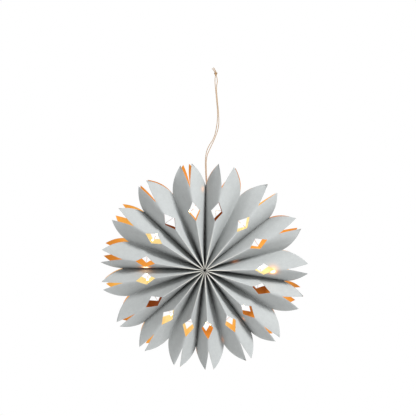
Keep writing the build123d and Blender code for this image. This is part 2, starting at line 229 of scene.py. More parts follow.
class Shader:
    """A material in the making, with its Principled node."""

    def __init__(self, name):
        self.material = bpy.data.materials.new(name)
        self.material.use_nodes = True
        self.tree = self.material.node_tree
        self.principled = self.tree.nodes["Principled BSDF"]

    def node(self, kind, settings=None, inputs=None):
        """Adds a node. settings are set first; inputs go by place in a list or by name in a dict."""
        made = self.tree.nodes.new(kind)
        for name, value in (settings or {}).items():
            if name == "stops":
                self._set_stops(made.color_ramp, value)
            else:
                setattr(made, name, value)
        pairs = enumerate(inputs) if isinstance(inputs, list) else (inputs or {}).items()
        for where, value in pairs:
            self._feed(made.inputs[where], value)
        return [Sock(self, output) for output in made.outputs]

    def _set_stops(self, ramp, stops):
        while len(ramp.elements) < len(stops):
            ramp.elements.new(1.0)
        for element, (place, colour) in zip(ramp.elements, stops):
            element.position = place
            element.color = (*colour, 1.0)

    def _feed(self, socket, value):
        if isinstance(value, Sock):
            self.tree.links.new(value.socket, socket)
        elif isinstance(value, (tuple, Vector)) and len(value) == 3 and socket.type == "RGBA":
            socket.default_value = (*value, 1.0)
        else:
            socket.default_value = value

    def set(self, **values):
        """Feeds the Principled node: names in plain words, with _ for a space."""
        for name, value in values.items():
            self._feed(self.principled.inputs[name.replace("_", " ")], value)
        return self

    def coordinates(self, output="Object"):
        coords = self.tree.nodes.new("ShaderNodeTexCoord")
        return Sock(self, coords.outputs[output])

    def attribute(self, name):
        made = self.tree.nodes.new("ShaderNodeAttribute")
        made.attribute_name = name
        return Sock(self, made.outputs["Fac"])

    def mapped(self, vector, scale):
        return self.node("ShaderNodeMapping", {}, {"Vector": vector, "Scale": scale})[0]

    def noise(self, vector, scale, detail=3.0, roughness=0.5, distortion=0.0):
        values = {"Vector": vector, "Scale": scale, "Detail": detail, "Roughness": roughness,
                  "Distortion": distortion}
        return self.node("ShaderNodeTexNoise", {}, values)[0]

    def ramp(self, factor, *stops):
        return self.node("ShaderNodeValToRGB", {"stops": stops}, [factor])[0]

    def mix(self, factor, first, second, blend="MIX"):
        node = self.tree.nodes.new("ShaderNodeMix")
        node.data_type = "RGBA"
        node.blend_type = blend
        for name, value in (("Factor_Float", factor), ("A_Color", first), ("B_Color", second)):
            socket = next(s for s in node.inputs if s.identifier == name)
            self._feed(socket, value)
        return Sock(self, next(s for s in node.outputs if s.identifier == "Result_Color"))

    def bump(self, height, strength, distance):
        values = {"Height": height, "Strength": strength, "Distance": distance}
        return self.node("ShaderNodeBump", {}, values)[0]


def shade(colour, factor):
    """A colour made darker or lighter."""
    return tuple(min(1.0, c * factor) for c in colour)


# ---- Materials ----


def paper_grain(shader):
    """The flat sheet's felt of fibres and its clouding, each from 0 to 1."""
    flat = shader.coordinates("UV")
    fibres = shader.noise(shader.mapped(flat, (900, 260, 1)), 1.0, 4.0, 0.6, 0.4)
    crossing = shader.noise(shader.mapped(flat, (420, 1100, 1)), 1.0, 3.0, 0.55, 0.3)
    flocks = shader.noise(shader.mapped(flat, (150, 110, 1)), 1.0, 3.0, 0.55)
    cloud = shader.noise(shader.mapped(flat, (38, 22, 1)), 1.0, 2.0, 0.5)
    return fibres * 0.6 + crossing * 0.4, flocks * 0.55 + cloud * 0.45


def outside_paper(sizes):
    """Uncoated grey paper: felted fibres, slow clouding, paler folds as painted highlight, and lamps
    close behind.
    """
    shader = Shader("grey_paper_outside")
    grain, cloud = paper_grain(shader)
    body = tuple(sizes.outside)
    clouded = shader.mix((cloud * 2.4 - 0.7).clamp(), shade(body, 0.85), shade(body, 1.08))
    felted = shader.mix((grain * 2.2 - 0.6).clamp(), shade(body, 0.84), clouded)
    # painted highlight: the ridge folds are made paler beside the hub
    highlighted = shader.mix((shader.attribute("fold_highlight") * 0.85).clamp(), felted, (0.84, 0.79, 0.69))
    shine = shader.attribute("lamp_shine")
    warm = shader.mix((shine * 0.8).clamp(), highlighted, (0.95, 0.52, 0.22))
    lit = shader.ramp(shine.clamp(), (0.0, (0, 0, 0)), (0.3, (0.07, 0.02, 0.005)),
                      (0.6, (0.32, 0.12, 0.035)), (0.85, (1, 0.8, 0.5)))
    shader.set(Base_Color=warm, Roughness=0.82 + grain * 0.14, Specular_IOR_Level=0.25,
               Normal=shader.bump(grain, 0.35, 0.0002), Emission_Color=lit, Emission_Strength=2.6)
    return shader.material


def inside_paper():
    """The inner side in the lamps' warm light: brown far from a lamp, yellow beside it."""
    shader = Shader("grey_paper_inside")
    grain, cloud = paper_grain(shader)
    uneven = shader.attribute("lamp_glow") * (0.84 + cloud * 0.32)
    light = shader.ramp(uneven.clamp(), (0.0, (0.05, 0.012, 0.003)), (0.25, (0.30, 0.07, 0.011)),
                        (0.5, (0.86, 0.34, 0.05)), (0.75, (1.0, 0.56, 0.12)), (1.0, (1.0, 0.86, 0.42)))
    felted = shader.mix((grain * 1.8 - 0.4).clamp(), (0, 0, 0), light)
    paint = shader.mix(0.55, (0, 0, 0), shader.mix(0.75, felted, light))
    shader.set(Base_Color=paint, Roughness=0.92, Normal=shader.bump(grain, 0.3, 0.0002),
               Emission_Color=light, Emission_Strength=0.55, Specular_IOR_Level=0.15)
    return shader.material


def jute(twine):
    """Twisted jute: the plies' fibres run along them, in uneven tans."""
    shader = Shader("jute_twine")
    along = shader.coordinates("UV")
    fibres = shader.noise(shader.mapped(along, (14, 900, 1)), 1.0, 4.0, 0.6, 0.5)
    patches = shader.noise(shader.mapped(along, (1, 60, 1)), 1.0, 2.0)
    colour = tuple(twine.colour)
    tan = shader.mix((fibres * 2.0 - 0.5).clamp(), shade(colour, 0.6), shade(colour, 1.4))
    tan = shader.mix((patches * 1.4 - 0.4).clamp(), tan, shade(colour, 1.25))
    return shader.set(Base_Color=tan, Roughness=0.88, Normal=shader.bump(fibres, 0.6, 0.0002),
                      Sheen_Weight=0.25).material


def copper_wire():
    """Fine enamelled copper."""
    shader = Shader("enamelled_wire")
    spots = shader.noise(shader.coordinates(), 900.0, 2.0)
    colour = shader.mix(spots, (0.62, 0.36, 0.14), (0.86, 0.58, 0.28))
    return shader.set(Base_Color=colour, Metallic=0.9, Roughness=0.3 + spots * 0.15).material


def lamp_resin(lights):
    """A drop of clear resin, bright all through from the lamp inside it."""
    shader = Shader("lamp_resin")
    swirl = shader.noise(shader.coordinates(), 700.0, 2.0)
    hot = shader.mix(swirl, tuple(lights.glow), (1.0, 0.86, 0.55))
    return shader.set(Base_Color=(1.0, 0.93, 0.78), Roughness=0.12, Coat_Weight=0.4,
                      Emission_Color=hot, Emission_Strength=lights.strength).material


def moulded_plastic(name, colour, roughness):
    """Moulded plastic with a fine spark-eroded grain."""
    shader = Shader(name)
    where = shader.coordinates()
    grain = shader.noise(where, 2600.0, 3.0, 0.6)
    smear = shader.noise(where, 60.0, 2.0)
    tone = shader.mix((smear * 1.2 - 0.1).clamp(), shade(colour, 0.94), colour)
    return shader.set(Base_Color=tone, Roughness=roughness + grain * 0.12 - 0.06,
                      Normal=shader.bump(grain, 0.25, 0.00012)).material


def sheet_metal(name, colour, roughness):
    """Stamped sheet metal with fine drawing lines."""
    shader = Shader(name)
    lines = shader.noise(shader.mapped(shader.coordinates(), (3000, 200, 200)), 1.0, 2.0)
    tone = shader.mix(lines, shade(colour, 0.8), colour)
    return shader.set(Base_Color=tone, Metallic=1.0, Roughness=roughness + lines * 0.15).material


def circuit_green():
    """Solder mask over faint copper tracks."""
    shader = Shader("circuit_board_green")
    cells = shader.node("ShaderNodeTexVoronoi", {"feature": "DISTANCE_TO_EDGE"},
                        {"Vector": shader.coordinates(), "Scale": 260.0})[0]
    colour = shader.mix((cells * 9.0).clamp(), (0.10, 0.30, 0.12), (0.02, 0.13, 0.05))
    return shader.set(Base_Color=colour, Roughness=0.35, Coat_Weight=0.3).material


def clouded_glue(name, colour, roughness):
    """Set glue or tape: cloudy, with small bubbles."""
    shader = Shader(name)
    cloud = shader.noise(shader.coordinates(), 420.0, 3.0)
    return shader.set(Base_Color=shader.mix(cloud, shade(colour, 0.85), colour),
                      Roughness=roughness, Normal=shader.bump(cloud, 0.3, 0.0002)).material


def closed_foam():
    """Soft foam with small closed cells."""
    shader = Shader("pad_foam")
    cells = shader.node("ShaderNodeTexVoronoi", {"feature": "F1"},
                        {"Vector": shader.coordinates(), "Scale": 1500.0})[0]
    colour = shader.mix((cells * 1.3).clamp(), (0.62, 0.62, 0.60), (0.86, 0.86, 0.84))
    return shader.set(Base_Color=colour, Roughness=0.95,
                      Normal=shader.bump(cells, 0.5, 0.0003)).material


def stage_paint(name, colour):
    """Matt backdrop paint with a trace of roller texture."""
    shader = Shader(name)
    roller = shader.noise(shader.coordinates(), 60.0, 2.0)
    return shader.set(Base_Color=shader.mix(roller, shade(colour, 0.985), colour), Roughness=0.95,
                      Emission_Color=colour, Emission_Strength=0.25).material


# ---- Helpers ----


def settings():
    """The scene's own copy of the sizes and colours."""
    scene = bpy.context.scene
    return scene.star_bag, scene.star_twine, scene.star_lights, scene.star_stage


def from_hub(point):
    """A point given in millimetres from the hub, in the frame."""
    return HUB + Vector(point) * MM


def polar(heading, radius, y=0.0):
    """A point at a heading and a distance from the hub, in the frame."""
    angle = math.radians(heading)
    return HUB + Vector((radius * math.sin(angle), y, radius * math.cos(angle)))


def tangent(heading):
    """The direction in which a heading grows."""
    angle = math.radians(heading)
    return Vector((math.cos(angle), 0.0, -math.sin(angle)))


def deselect():
    """Leaves edit mode with nothing selected."""
    if bpy.context.object and bpy.context.object.mode != "OBJECT":
        bpy.ops.object.mode_set(mode="OBJECT")
    bpy.ops.object.select_all(action="DESELECT")


def activate(piece):
    deselect()
    piece.select_set(True)
    bpy.context.view_layer.objects.active = piece


def join(pieces, name):
    """Joins objects into the first, and names it."""
    activate(pieces[0])
    for piece in pieces[1:]:
        piece.select_set(True)
    if len(pieces) > 1:
        bpy.ops.object.join()
    pieces[0].name = name
    pieces[0].data.name = name
    return pieces[0]


def apply_modifiers(piece):
    activate(piece)
    for modifier in list(piece.modifiers):
        bpy.ops.object.modifier_apply(modifier=modifier.name)
    return piece


FINE_MERGE = 0.000001  # points nearer than this are one point written twice


def merge_doubles(piece, distance=FINE_MERGE):
    activate(piece)
    bpy.ops.object.mode_set(mode="EDIT")
    bpy.ops.mesh.select_all(action="SELECT")
    bpy.ops.mesh.remove_doubles(threshold=distance)
    bpy.ops.object.mode_set(mode="OBJECT")
    return piece


def smooth(piece, degrees):
    activate(piece)
    bpy.ops.object.shade_smooth_by_angle(angle=math.radians(degrees))
    return piece


def dress(piece, *materials):
    """Gives a piece these materials in place of its own."""
    piece.data.materials.clear()
    for material in materials:
        piece.data.materials.append(material)
    return piece


def points_of(piece):
    """A mesh's points as an array."""
    flat = np.zeros(len(piece.data.vertices) * 3)
    piece.data.vertices.foreach_get("co", flat)
    return flat.reshape(-1, 3)


def set_point_attribute(piece, name, values):
    """Writes one number for each point of a mesh."""
    attribute = piece.data.attributes.get(name)
    if attribute is None:
        attribute = piece.data.attributes.new(name, "FLOAT", "POINT")
    attribute.data.foreach_set("value", np.asarray(values, dtype=np.float32))


def grid_piece(points, flat, flip=False):
    """A grid primitive whose points are moved to rows and columns of places."""
    if flip:
        points, flat = points[:, ::-1], flat[:, ::-1]
    rows, columns = points.shape[:2]
    deselect()
    bpy.ops.mesh.primitive_grid_add(x_subdivisions=columns - 1, y_subdivisions=rows - 1, size=1)
    piece = bpy.context.object
    mesh = piece.data
    mesh.vertices.foreach_set("co", np.ascontiguousarray(points, dtype=float).ravel())
    corners = np.zeros(len(mesh.loops), dtype=int)
    mesh.loops.foreach_get("vertex_index", corners)
    uv = np.ascontiguousarray(flat.reshape(-1, 2)[corners])
    mesh.uv_layers.active.data.foreach_set("uv", uv.ravel())
    mesh.update()
    return piece


def finish_piece(piece, body, slot, *nodes):
    """Rides a piece on its body and hides the CAD nodes it stands for; slot is not used."""
    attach(piece, body)
    if nodes:
        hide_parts(*nodes)
    return piece


def flatten_with(piece):
    """Gives a bag's piece its own copy of its mesh."""
    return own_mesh(piece)


# ---- Paper bags ----

LAST_TIED = 0.150  # past this distance from the hub the sheets run on straight
RIDGE_RUN = 0.045  # stretch before there that gives a ridge its slope
TUCK_RUN = 0.03  # and the one that gives a gusset fold its slope
LEAST_TUCK = 0.008  # a gusset fold lies at least this far behind its ridge
PETAL_STRAIGHT = 0.53  # how straight a petal's outer side is: the rest of its rise is curved
PETAL_CURVED = 0.47
GUSSET_BOW = 0.42  # how far a gusset's panels belly out, as a share
GUSSET_SOFTNESS = 0.10  # how rounded a gusset's fold is, as a share of its depth
RIDGE_ROUNDING = 0.0045  # how rounded a ridge is where the seams end
FOLD_HALF = 0.00065  # half the width of a ridge's fold beside the hub
FOLD_END = 0.09  # the fold's width has gone at this distance from the hub ...
FOLD_FADE = 0.05  # ... over this stretch
MOST_ASIDE = 0.36  # a ridge's fold takes no more than this share of a panel's turn
NEAR_RIDGE = (0.83, 0.87, 0.905, 0.935, 0.96, 0.98, 0.992, 1.0)  # columns crowded by the ridge
COARSE_SHARE = 0.78  # where the evenly spaced columns end
WAVES = 0.0012  # size of a sheet's slow waves
WAVES_FROM = 0.08  # distance from the hub where they reach their full size
CURLS = (-0.004, 0.003)  # how far a petal's tip may curl back and forward
HIGHLIGHT_WIDTH = 0.0011  # width of the painted highlight along a fold
HIGHLIGHT_SETBACK = 0.01  # the painted highlight stops this far short of the window ...
HIGHLIGHT_FADE = 0.08  # ... and fades over this stretch
FLAT_STEP = (0.13, 0.25)  # between the panels' places on the flat sheet
FOLD_MERGE = 0.00002  # panels' points nearer than this become one


def row_radii(sizes):
    """Distances from the hub at which a bag has a row of points."""
    middle = (sizes.window_inner + sizes.window_outer) / 2
    stretches = [
        (sizes.inner_radius, sizes.window_inner, 18),
        (sizes.window_inner, middle, 7),
        (middle, sizes.window_outer, 7),
        (sizes.window_outer, sizes.gusset_radius, 6),
        (sizes.gusset_radius, sizes.notch_radius, 1),
        (sizes.notch_radius, sizes.seam_radius, 1),
        (sizes.seam_radius, sizes.tip_radius, 15),
    ]
    radii = [np.linspace(start, end, count, endpoint=False) for start, end, count in stretches]
    return np.concatenate([*radii, [sizes.tip_radius]])


def run_on(tied, radius, run, least=0.0):
    """A depth that follows the tied sheets as far as they are tied, then runs on straight."""
    slope = (tied(LAST_TIED) - tied(LAST_TIED - run)) / run
    straight = np.maximum(tied(LAST_TIED) + slope * (radius - LAST_TIED), least)
    return np.where(radius <= LAST_TIED, tied(np.minimum(radius, LAST_TIED)), straight)


def ridge_depth(sizes, radius, turn):
    """How far a ridge stands from the middle plane, given its turn from the seam."""
    sheet = sizes.width / 2 - sizes.glued_half

    def tied(at):
        return sizes.glued_half + np.sqrt(sheet**2 - (at * math.sin(math.radians(turn))) ** 2)

    return run_on(tied, radius, RIDGE_RUN)


def tuck(sizes, radius, turn):
    """How far behind its ridge a gusset fold lies, given the turn between them."""

    def tied(at):
        return np.sqrt(sizes.gusset_depth**2 - (at * math.sin(math.radians(turn))) ** 2)

    return run_on(tied, radius, TUCK_RUN, LEAST_TUCK)


def rounded_top(share, soft):
    """A straight rise from 0 to 1 whose top is rounded off over about this share."""
    return 1.0 - (np.sqrt((1.0 - share) ** 2 + soft**2) - soft) / (np.sqrt(1.0 + soft**2) - soft)


def unbow(share, bow):
    """The place across a sheet at which (1 - bow) x + bow x^2 has this value."""
    lift = 1.0 - bow
    return (-lift + np.sqrt(lift**2 + 4.0 * bow * share)) / (2.0 * bow)


def panel_limits(sizes, radius, valley_radius, turn, spread):
    """The cut edges of a panel at each radius, as shares of its turn from valley to ridge."""
    petal = np.clip((radius - valley_radius) / (sizes.tip_radius - valley_radius), 0.0, 1.0)
    tip = 1.0 - spread / turn
    low = tip * (PETAL_STRAIGHT * petal + PETAL_CURVED * petal**2)
    notch = np.clip((radius - sizes.notch_radius) / (sizes.tip_radius - sizes.notch_radius), 0.0, 1.0)
    high = 1.0 - (1.0 - tip) * notch
    middle = (sizes.window_inner + sizes.window_outer) / 2
    reach = (sizes.window_outer - sizes.window_inner) / 2
    half = sizes.window_half * np.clip(1.0 - np.abs(radius - middle) / reach, 0.0, 1.0)
    high = high - np.degrees(np.arcsin(half / radius)) / turn
    return low, np.maximum(high, low)


def soft_noise(rng, radius, across, size):
    """Slow unevenness of a sheet."""
    waves = np.zeros(radius.shape)
    for _ in range(5):
        phase, along, sideways = rng.uniform(0, 6.28), rng.uniform(18, 55), rng.uniform(1.0, 5.0)
        waves = waves + np.sin(phase + along * radius + sideways * across)
    return size * waves / 5.0


def drawn_in(sizes, radius, heading):
    """A distance from the hub as the outer part is drawn in, more so the lower it hangs."""
    reach = 1.0 - (1.0 - sizes.low_reach) * (1.0 - np.cos(np.radians(heading))) / 2
    beyond = np.maximum(radius - sizes.window_outer, 0.0)
    share = (sizes.tip_radius * reach - sizes.window_outer) / (sizes.tip_radius - sizes.window_outer)
    return radius - beyond * (1.0 - share)


def panel(sizes, radii, valley, ridge, seamed, spread, curl, lean, depths, rng):
    """One sheet between two folds: places as (heading, radius, y), and flat-sheet coordinates."""
    turn = abs(ridge - valley)
    bow = sizes.bulge if seamed else GUSSET_BOW
    glued = sizes.glued_half if seamed else 0.0
    sheet = (sizes.width / 2 if seamed else sizes.gusset_depth) - glued
    valley_radius = sizes.seam_radius if seamed else sizes.gusset_radius
    low, high = panel_limits(sizes, radii, valley_radius, turn, spread)
    v_low = np.where(low > 0, glued + sheet * unbow(low, bow), 0.0)
    v_high = glued + sheet * unbow(high, bow)
    coarse = np.linspace(0.0, COARSE_SHARE, sizes.columns - len(NEAR_RIDGE))
    shares = np.concatenate([coarse, NEAR_RIDGE])
    v = v_low[:, None] + (v_high - v_low)[:, None] * shares[None, :]
    x = np.clip((v - glued) / sheet, 0.0, 1.0)
    radius = np.repeat(radii[:, None], v.shape[1], axis=1)
    valley_y, ridge_y = depths
    heading_share = (1.0 - bow) * x + bow * x**2
    rounding = RIDGE_ROUNDING * radii[:, None] / (sizes.seam_radius * sheet)
    if seamed:
        y = np.minimum(v, glued) + (ridge_y[:, None] - glued) * rounded_top(x, rounding)
    else:
        rise = 1.0 - rounded_top(1.0 - x, GUSSET_SOFTNESS)
        y = valley_y[:, None] + (ridge_y - valley_y)[:, None] * rounded_top(rise, rounding)
    petal = np.clip((radius - sizes.seam_radius) / (sizes.tip_radius - sizes.seam_radius), 0.0, 1.0)
    held = np.sin(math.pi * x) * np.clip(radius / WAVES_FROM, 0.0, 1.0)
    y = y + soft_noise(rng, radius, x * 3.0, WAVES) * np.maximum(held, petal)
    y = y + curl * petal**2 * (0.4 + 0.6 * np.sin(math.pi * shares)[None, :])
    wall = np.degrees(sizes.glue / 2) / radius if seamed else 0.0
    edge = glued + sheet
    from_fold = np.clip((edge - v) / FOLD_HALF, 0.0, 1.0)
    aside = np.degrees(FOLD_HALF * np.clip((FOLD_END - radius) / FOLD_FADE, 0.0, 1.0) / radius)
    folded = np.minimum(aside, MOST_ASIDE * turn) * np.sqrt(1.0 - (1.0 - from_fold) ** 2)
    inset = wall * (1.0 - heading_share) - folded * heading_share
    heading = valley + (ridge - valley) * heading_share
    heading = heading + np.sign(ridge - valley) * inset
    heading = heading + lean * petal * (2.0 - petal)
    places = np.stack([heading, drawn_in(sizes, radius, heading), y], axis=-1)
    return places, np.stack([v, radius], axis=-1)


def fold_highlight(places, flat, sizes, seamed):
    """The painted highlight along a fold's ridge, strongest beside the hub."""
    edge = sizes.width / 2 if seamed else sizes.gusset_depth
    fading = np.clip((sizes.window_inner - HIGHLIGHT_SETBACK - places[..., 1]) / HIGHLIGHT_FADE, 0.0, 1.0)
    return np.exp(-(((edge - flat[..., 0]) / HIGHLIGHT_WIDTH) ** 2)) * fading


def bag_sheet(sizes, number):
    """All the panels of one bag, joined along their folds."""
    rng = random.Random(40 + number)
    radii = row_radii(sizes)
    seam_a, ridge_a, fold, ridge_b, seam_b = BAG_HEADINGS[number - 1]
    panels = []
    for back in (False, True):
        turns = BACK_TURNS[number - 1] if back else (0.0, 0.0)
        ridges = (ridge_a + turns[0], ridge_b + turns[1])
        middle = fold + sum(turns) / 2
        depths = [ridge_depth(sizes, radii, abs(ridge - seam))
                  for ridge, seam in zip(ridges, (seam_a, seam_b))]
        tucks = [tuck(sizes, radii, abs(ridge - middle)) for ridge in ridges]
        fold_y = (depths[0] - tucks[0] + depths[1] - tucks[1]) / 2
        for side, (seam, ridge) in enumerate(zip((seam_a, seam_b), ridges)):
            spread = TIP_SPREADS[number - 1][side]
            leans = BACK_LEANS[number - 1][side] if back else (0.0, 0.0)
            for seamed in (True, False):
                curl = rng.uniform(*CURLS)
                lean = leans[0] if seamed == (side == 0) else leans[1]
                valley = seam if seamed else middle
                places, flat = panel(sizes, radii, valley, ridge, seamed, spread, curl, lean,
                                     (fold_y, depths[side]), rng)
                angle = np.radians(places[..., 0])
                sign = 1.0 if back else -1.0
                points = np.stack([HUB.x + places[..., 1] * np.sin(angle),
                                   HUB.y + sign * places[..., 2],
                                   HUB.z + places[..., 1] * np.cos(angle)], axis=-1)
                # painted highlight along the ridge folds, kept for each point
                ridge_highlight = fold_highlight(places, flat, sizes, seamed)
                step = (2 * side + (not seamed), back)
                flat = flat + np.array(FLAT_STEP) * step
                flip = (back + side + (not seamed)) % 2 == 1  # so that the outer side faces out
                made = grid_piece(points, flat, flip)
                set_point_attribute(made, "fold_highlight", (ridge_highlight[:, ::-1] if flip else ridge_highlight).ravel())
                panels.append(made)
    return merge_doubles(join(panels, f"star_bag_{number}"), FOLD_MERGE)


def close_bottom(piece, sizes):
    """Fills the bag's folded end beside the hub."""
    activate(piece)
    bpy.ops.object.mode_set(mode="EDIT")
    bpy.ops.mesh.select_mode(type="EDGE")
    bpy.ops.mesh.select_all(action="DESELECT")
    shape = bmesh.from_edit_mesh(piece.data)
    for edge in shape.edges:
        away = [math.hypot(v.co.x - HUB.x, v.co.z - HUB.z) for v in edge.verts]
        edge.select_set(edge.is_boundary and max(away) < sizes.inner_radius + BOTTOM_SLACK)
    bmesh.update_edit_mesh(piece.data)
    bpy.ops.mesh.fill()
    bpy.ops.mesh.select_mode(type="VERT")
    bpy.ops.object.mode_set(mode="OBJECT")
    return piece


PETAL_GLOW = 0.7  # the least glow in the petals' hollows
PETALS_FROM = 0.135  # distance from the hub where that glow begins ...
PETALS_RISE = 0.02  # ... and the stretch over which it rises
DARK_HUB = 0.03  # no glow this near the hub ...
DARK_RISE = 0.05  # ... and the stretch over which it rises
GLOW_BLEND = 12.0  # degrees over which one ridge's glow gives way to the next one's
GLOW_BASE = 0.42  # share of the glow that reaches the paper far from a lamp
GLOW_NEAR = 0.36  # and what each lamp beside it adds
# Where a lamp lies right behind the sheet: heading, distance from the hub, y, size, brightness
SHINE_SPOTS = {
    2: ((75.2, 0.062, -0.016, 0.005, 0.4), (90.8, 0.1325, -0.045, 0.009, 1.0)),
    3: ((142.6, 0.125, -0.022, 0.0045, 0.6),),
    4: ((165.6, 0.146, -0.012, 0.005, 0.4),),
    7: ((272.7, 0.115, -0.026, 0.0095, 1.0),),
    8: ((358.5, 0.157, -0.020, 0.005, 0.5),),
}


def light_paper(piece, number, lights):
    """Writes how much lamp light reaches each point of a bag's sheet, and where it shines through."""
    points = points_of(piece)
    near = np.zeros(len(points))
    for lamp in lamp_places(number):
        away = np.linalg.norm(points - np.array(lamp), axis=1)
        near = near + 1.0 / (1.0 + (away / lights.reach) ** 2)
    local = points - np.array(HUB)
    heading = np.degrees(np.arctan2(local[:, 0], local[:, 2])) % 360.0
    fold = BAG_HEADINGS[number - 1][2]
    past_fold = (heading - fold + 180.0) % 360.0 - 180.0
    side = np.clip(past_fold / GLOW_BLEND + 0.5, 0.0, 1.0)
    side_a, side_b = LOBE_GLOW[number - 1]
    level = side_a + (side_b - side_a) * side
    radius = np.hypot(local[:, 0], local[:, 2])
    in_petal = np.clip((radius - PETALS_FROM) / PETALS_RISE, 0.0, 1.0)
    level = level + in_petal * (np.maximum(level, PETAL_GLOW) - level)
    level = level * np.clip((radius - DARK_HUB) / DARK_RISE, 0.0, 1.0)
    glow = np.clip(level * (GLOW_BASE + GLOW_NEAR * near), 0.0, 1.0)
    set_point_attribute(piece, "lamp_glow", glow)
    shine = np.zeros(len(points))
    for heading, radius, y, size, peak in SHINE_SPOTS.get(number, ()):
        away = np.linalg.norm(points - np.array(polar(heading, radius, y)), axis=1)
        shine = np.maximum(shine, peak * np.exp(-((away / size) ** 2)))
    set_point_attribute(piece, "lamp_shine", shine)


FULL_PAPER = 0.04  # distance from the hub where the paper has its full thickness
THIN_PAPER = 0.12  # and its least share of that, beside the hub
BOTTOM_SLACK = 0.0003  # edges this little past the folded end still belong to it


def thin_at_hub(piece):
    """Weights that thin the paper where the folds crowd together at the hub."""
    group = piece.vertex_groups.new(name="paper")
    local = points_of(piece) - np.array(HUB)
    weights = np.clip(np.hypot(local[:, 0], local[:, 2]) / FULL_PAPER, THIN_PAPER, 1.0)
    for index, weight in enumerate(weights):
        group.add([index], float(weight), "REPLACE")
    return group


def make_bag(number, sizes, lights, materials):
    """One bag's paper, with its thickness, its light and its finish."""
    piece = dress(close_bottom(bag_sheet(sizes, number), sizes), *materials)
    paper = piece.modifiers.new("paper", "SOLIDIFY")
    paper.thickness = sizes.paper
    paper.offset = -1.0
    paper.material_offset = 1
    paper.vertex_group = thin_at_hub(piece).name
    apply_modifiers(piece)
    light_paper(piece, number, lights)
    smooth(piece, 50.0)
    finish_piece(piece, f"bag_{number}", "grey_paper", f"paper_bag_{number}")
    return flatten_with(piece)


# ---- Seam strips and light string ----

WINDOW_MIDDLE = 116.0  # hub to the middle of a window, in millimetres as all of the string's route
CROSSING_Y = 37.0  # how far back the wire crosses a seam
CROSSING_SETBACK = 0.12  # each bag's stretch of wire stops this far from the seam
AT_RIDGE_Y = 28.0  # and how far back it runs inside a ridge
PACK_RADIUS = 47.0  # hub to the middle of the battery case
PACK_BACK = 55.2  # and from the middle plane to the case's near side
WIRE_DIAMETER = 0.0007
WIRE_STEP = 0.0012  # between the rings of a wire
WIRE_CUT = 0.02  # a wire's pointed end is this share of a step long
LAMP_DROP = 0.0034  # a resin drop's diameter
DRAWN_OUT = 0.32  # how much longer a drop is along the wire
DROP_WIDTHS = (0.94, 0.98, 1.0)  # its uneven widths
BACK_OF_BAGS = 0.0535  # the lead behind this is made as a piece of its own


def node_copy(node, name):
    """A copy of a CAD node's mesh, with its loose triangles merged."""
    piece = bpy.data.objects.new(name, frame["nodes"][node].data.copy())
    bpy.context.scene.collection.objects.link(piece)
    return merge_doubles(piece)


def draw_in_strip(piece, sizes, heading):
    """Shortens a seam strip as the paper beside it is drawn in."""
    outward = np.array(polar(heading, 1.0) - HUB)
    points = points_of(piece)
    radius = (points - np.array(HUB)) @ outward
    points = points + np.outer(drawn_in(sizes, radius, heading) - radius, outward)
    piece.data.vertices.foreach_set("co", points.ravel())
    piece.data.update()


def place(heading, radius, y, aside=0.0):
    """A point of the string's route: heading, then millimetres from the hub, back and aside."""
    return polar(heading, radius * MM, y * MM) + tangent(heading) * aside * MM


def string_route(number):
    """The wire's way through a bag: in at one window, under the gusset fold, out at the other."""
    seam_a, ridge_a, fold, ridge_b, seam_b = BAG_HEADINGS[number - 1]
    middle = WINDOW_MIDDLE
    if number == 1:
        way_in = [
            place(fold, PACK_RADIUS - 14.5, PACK_BACK + 6.0, -10.9),
            place(fold, PACK_RADIUS + 9.0, PACK_BACK + 6.0, -11.7),
            place(fold, PACK_RADIUS + 32.0, PACK_BACK + 6.2, -11.1),
            place(ridge_a + 4, 97, 62),
            place(ridge_a + 0.5, 112, 54),
            place(ridge_a + 1.5, middle + 1, 38),
        ]
    else:
        way_in = [
            place(seam_a, middle, CROSSING_Y, CROSSING_SETBACK),
            place((seam_a + ridge_a) / 2, middle + 1, CROSSING_Y - 1),
        ]
    inside = [
        place(ridge_a + 2, middle - 1, AT_RIDGE_Y - 3),
        place((ridge_a + fold) / 2 + 1, middle + 5, 8),
        place(fold, middle - 3, -1),
        place((fold + ridge_b) / 2, middle + 2, 7),
        place(ridge_b - 2, middle - 2, AT_RIDGE_Y - 4),
    ]
    if number == len(BAG_HEADINGS):
        way_out = [place(ridge_b + 4, middle + 12, 14), place(ridge_b + 2, middle + 26, 4)]
    else:
        way_out = [
            place((ridge_b + seam_b) / 2, middle - 1, CROSSING_Y - 1),
            place(seam_b, middle, CROSSING_Y, -CROSSING_SETBACK),
        ]
    return way_in + inside + way_out


def lamp_places(number):
    """The middles of the three lamps in a bag, each halfway between two points of the route."""
    route = string_route(number)
    return [(route[index] + route[index + 1]) / 2 for index in (-6, -4, -3)]


def lamp_drop(centre, rng):
    """A drop of resin round a lamp: a ball drawn out a little each way along the wire."""
    deselect()
    bpy.ops.mesh.primitive_uv_sphere_add(segments=20, ring_count=14, radius=LAMP_DROP / 2)
    piece = bpy.context.object
    points = points_of(piece) / (LAMP_DROP / 2)
    drawn = 1.0 + DRAWN_OUT * np.abs(points[:, 2:3]) ** 5
    points = points * drawn * np.array(DROP_WIDTHS) * LAMP_DROP / 2
    piece.data.vertices.foreach_set("co", points.ravel())
    piece.data.transform(Matrix.Rotation(rng.uniform(0.3, 1.3), 4, "Y"))
    piece.data.transform(Matrix.Translation(centre))
    return piece


def wire_piece(line, name, finish):
    """A stretch of the string's wire."""
    line = spaced(line, WIRE_STEP)
    radii = np.full(len(line), WIRE_DIAMETER / 2)
    radii[[0, -1]] = 0.0
    for end, beside in ((0, 1), (-1, -2)):
        line[end] = line[beside] * (1.0 - WIRE_CUT) + line[end] * WIRE_CUT
    piece = merge_doubles(join([tube_piece(line, radii, around=8)], name))
    return smooth(dress(piece, finish), 60.0)


